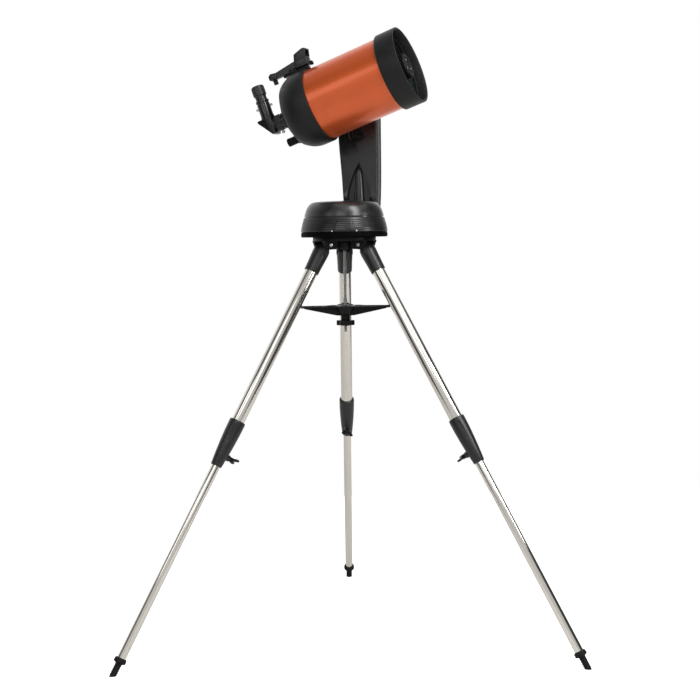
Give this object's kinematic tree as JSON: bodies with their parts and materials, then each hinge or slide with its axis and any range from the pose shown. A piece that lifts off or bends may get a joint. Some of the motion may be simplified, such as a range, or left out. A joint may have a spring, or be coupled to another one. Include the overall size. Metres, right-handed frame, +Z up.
{
  "type": "schmidt cassegrain telescope",
  "caption": "Short closed-tube telescope on a one-arm motor mount with a round base, star diagonal and finder, on a steel-leg tripod.",
  "frame": {"origin": "on the floor, under the middle of the object's bounding box", "axes": "+Z up; the tube points to +X, 20 degrees towards -Y and 20 degrees up; the rear leg is on +Y"},
  "size_m": [1.3416, 1.1641, 1.8131],
  "materials": {
    "orange_tube": "metallic orange satin",
    "black_cell": "fine-textured satin black",
    "black_casting": "satin black casting",
    "black_plastic": "satin moulded plastic",
    "polished_steel": "polished stainless tube",
    "black_rubber": "moulded rubber",
    "dark_anodised": "black anodised",
    "bright_hardware": "plated",
    "zinc_rod": "zinc plated thread",
    "corrector_glass": "coated clear glass",
    "mirror_glass": "aluminised",
    "prism_glass": "clear",
    "gear_brass": "machined",
    "motor_steel": "motor can",
    "cell_label": "printed sleeve, plain"
  },
  "bodies": {
    "tripod": {"tripod_head": "black_casting", "captive_bolts": "black_plastic", "hinge_bolts": "zinc_rod", "center_rod": "zinc_rod", "base_plate": "black_plastic", "azimuth_gear": "gear_brass"},
    "support_nut": {"support_nut": "black_plastic"},
    "tray": {"accessory_tray": "black_casting"},
    "mount": {"base_skirt": "black_plastic", "base_dome": "black_plastic", "battery_pack": "cell_label", "drive_motors": "motor_steel", "arm_shell": "black_plastic", "arm_cover": "black_plastic"},
    "battery_door": {"battery_door": "black_plastic"},
    "azimuth_pinion": {"azimuth_pinion": "gear_brass"},
    "altitude_pinion": {"altitude_pinion": "gear_brass"},
    "power_switch": {"power_switch": "black_plastic"},
    "saddle": {"saddle": "black_casting", "altitude_gear": "gear_brass"},
    "saddle_knob": {"saddle_knob": "black_plastic"},
    "tube": {"dovetail_rail": "dark_anodised", "optical_tube": "orange_tube", "front_cell": "black_cell", "corrector_plate": "corrector_glass", "secondary_housing": "black_cell", "secondary_mirror": "mirror_glass", "baffle_tube": "dark_anodised", "rear_cell": "black_cell", "visual_back": "dark_anodised", "finder_bracket": "black_plastic"},
    "primary_mirror": {"primary_mirror": "mirror_glass"},
    "focus_knob": {"focus_knob": "black_rubber"},
    "visual_back_screw": {"visual_back_screw": "bright_hardware"},
    "diagonal": {"star_diagonal": "dark_anodised", "diagonal_prism": "prism_glass"},
    "diagonal_screw_front": {"diagonal_screw_front": "bright_hardware"},
    "diagonal_screw_rear": {"diagonal_screw_rear": "bright_hardware"},
    "eyepiece": {"eyepiece": "dark_anodised"},
    "finder": {"finder_body": "black_plastic", "finder_window": "corrector_glass"},
    "finder_knob": {"finder_knob": "black_plastic"},
    "leg_1": {"leg_1_bracket": "black_plastic", "leg_1_upper_tube": "polished_steel", "leg_1_lock": "black_plastic"},
    "leg_1_wing_screw": {"leg_1_wing_screw": "black_plastic"},
    "leg_1_lower": {"leg_1_lower_tube": "polished_steel", "leg_1_foot": "black_rubber"},
    "leg_2": {"leg_2_bracket": "black_plastic", "leg_2_upper_tube": "polished_steel", "leg_2_lock": "black_plastic"},
    "leg_2_wing_screw": {"leg_2_wing_screw": "black_plastic"},
    "leg_2_lower": {"leg_2_lower_tube": "polished_steel", "leg_2_foot": "black_rubber"},
    "leg_3": {"leg_3_bracket": "black_plastic", "leg_3_upper_tube": "polished_steel", "leg_3_lock": "black_plastic"},
    "leg_3_wing_screw": {"leg_3_wing_screw": "black_plastic"},
    "leg_3_lower": {"leg_3_lower_tube": "polished_steel", "leg_3_foot": "black_rubber"}
  },
  "joints": [
    {"name": "leg_1_fold", "type": "hinge", "parent": "tripod", "child": "leg_1", "pos_m": [-0.05924, -0.2258, 1.1855], "axis": [0.5, -0.866, 0], "range_deg": [0, 22]},
    {"name": "leg_1_extend", "type": "slide", "parent": "leg_1", "child": "leg_1_lower", "axis": [0.4382, 0.253, 0.8625], "range_m": [0, 0.5]},
    {"name": "leg_1_clamp", "type": "hinge", "parent": "leg_1", "child": "leg_1_wing_screw", "pos_m": [-0.33921, -0.38744, 0.57518], "axis": [0.747, 0.4313, -0.506], "range_deg": [-720, 0]},
    {"name": "leg_2_fold", "type": "hinge", "parent": "tripod", "child": "leg_2", "pos_m": [0.05924, -0.2258, 1.1855], "axis": [0.5, 0.866, 0], "range_deg": [0, 22]},
    {"name": "leg_2_extend", "type": "slide", "parent": "leg_2", "child": "leg_2_lower", "axis": [-0.4382, 0.253, 0.8625], "range_m": [0, 0.5]},
    {"name": "leg_2_clamp", "type": "hinge", "parent": "leg_2", "child": "leg_2_wing_screw", "pos_m": [0.33921, -0.38744, 0.57518], "axis": [-0.747, 0.4313, -0.506], "range_deg": [-720, 0]},
    {"name": "leg_3_fold", "type": "hinge", "parent": "tripod", "child": "leg_3", "pos_m": [0, -0.1232, 1.1855], "axis": [-1, 0, 0], "range_deg": [0, 22]},
    {"name": "leg_3_extend", "type": "slide", "parent": "leg_3", "child": "leg_3_lower", "axis": [0, -0.506, 0.8625], "range_m": [0, 0.5]},
    {"name": "leg_3_clamp", "type": "hinge", "parent": "leg_3", "child": "leg_3_wing_screw", "pos_m": [0, 0.20009, 0.57518], "axis": [0, -0.8625, -0.506], "range_deg": [-720, 0]},
    {"name": "nut_travel", "type": "slide", "parent": "tripod", "child": "support_nut", "axis": [0, 0, -1], "range_m": [0, 0.138]},
    {"name": "tray_turn", "type": "hinge", "parent": "support_nut", "child": "tray", "pos_m": [0, -0.1916, 1], "axis": [0, 0, 1], "range_deg": [0, 60]},
    {"name": "azimuth_turn", "type": "hinge", "parent": "tripod", "child": "mount", "pos_m": [0, -0.1916, 1.25], "axis": [0, 0, 1], "continuous": true},
    {"name": "azimuth_pinion_turn", "type": "hinge", "parent": "mount", "child": "azimuth_pinion", "pos_m": [0, -0.1166, 1.226], "axis": [0, 0, 1], "continuous": true},
    {"name": "altitude_turn", "type": "hinge", "parent": "mount", "child": "saddle", "pos_m": [0.0448, -0.0685, 1.628], "axis": [-0.342, -0.9397, 0], "range_deg": [-30, 70]},
    {"name": "altitude_pinion_turn", "type": "hinge", "parent": "mount", "child": "altitude_pinion", "pos_m": [0.05028, -0.05346, 1.583], "axis": [-0.342, -0.9397, 0], "range_deg": [-140, 60]},
    {"name": "door_off", "type": "slide", "parent": "mount", "child": "battery_door", "axis": [0, -1, 0], "range_m": [0, 0.06]},
    {"name": "power_slide", "type": "slide", "parent": "mount", "child": "power_switch", "axis": [0.5, 0.866, 0], "range_m": [0, 0.002]},
    {"name": "tube_slide", "type": "slide", "parent": "saddle", "child": "tube", "axis": [0.883, -0.3214, 0.342], "range_m": [-0.02, 0.04]},
    {"name": "saddle_clamp", "type": "hinge", "parent": "saddle", "child": "saddle_knob", "pos_m": [0.03664, -0.09852, 1.50976], "axis": [0.2303, -0.3383, -0.9124], "range_deg": [-720, 0]},
    {"name": "focus_turn", "type": "hinge", "parent": "tube", "child": "focus_knob", "pos_m": [-0.15475, -0.13528, 1.4957], "axis": [-0.883, 0.3214, -0.342], "range_deg": [-1800, 1800]},
    {"name": "mirror_focus", "type": "slide", "parent": "tube", "child": "primary_mirror", "axis": [0.883, -0.3214, 0.342], "range_m": [-0.00375, 0.00375]},
    {"name": "visual_back_clamp", "type": "hinge", "parent": "tube", "child": "visual_back_screw", "pos_m": [-0.17844, -0.12665, 1.52696], "axis": [0.3214, -0.117, -0.9397], "range_deg": [-720, 0]},
    {"name": "diagonal_turn", "type": "hinge", "parent": "tube", "child": "diagonal", "pos_m": [-0.18985, -0.1225, 1.55447], "axis": [0.883, -0.3214, 0.342], "range_deg": [-90, 90]},
    {"name": "diagonal_front_clamp", "type": "hinge", "parent": "diagonal", "child": "diagonal_screw_front", "pos_m": [-0.21387, -0.11376, 1.61008], "axis": [0.883, -0.3214, 0.342], "range_deg": [-720, 0]},
    {"name": "diagonal_rear_clamp", "type": "hinge", "parent": "diagonal", "child": "diagonal_screw_rear", "pos_m": [-0.25802, -0.09769, 1.59298], "axis": [-0.883, 0.3214, -0.342], "range_deg": [-720, 0]},
    {"name": "eyepiece_out", "type": "slide", "parent": "diagonal", "child": "eyepiece", "axis": [-0.3214, 0.117, 0.9397], "range_m": [0, 0.06]},
    {"name": "finder_aim", "type": "hinge", "parent": "tube", "child": "finder", "pos_m": [-0.14293, -0.13958, 1.70673], "axis": [0.342, 0.9397, 0], "range_deg": [-1, 1]},
    {"name": "finder_screw", "type": "hinge", "parent": "finder", "child": "finder_knob", "pos_m": [-0.19855, -0.11933, 1.67348], "axis": [-0.3214, 0.117, 0.9397], "range_deg": [-360, 360]}
  ],
  "couplings": [
    {"joint": "leg_2_fold", "follows": "leg_1_fold", "ratio": 1},
    {"joint": "leg_3_fold", "follows": "leg_1_fold", "ratio": 1},
    {"joint": "nut_travel", "follows": "leg_1_fold", "m_per_rad": 0.3594},
    {"joint": "tray_turn", "follows": "leg_1_fold", "ratio": 2.7273},
    {"joint": "azimuth_pinion_turn", "follows": "azimuth_turn", "ratio": 4},
    {"joint": "altitude_pinion_turn", "follows": "altitude_turn", "ratio": -2},
    {"joint": "focus_turn", "follows": "mirror_focus", "rad_per_m": 8377.6},
    {"joint": "finder_screw", "follows": "finder_aim", "ratio": 360}
  ]
}
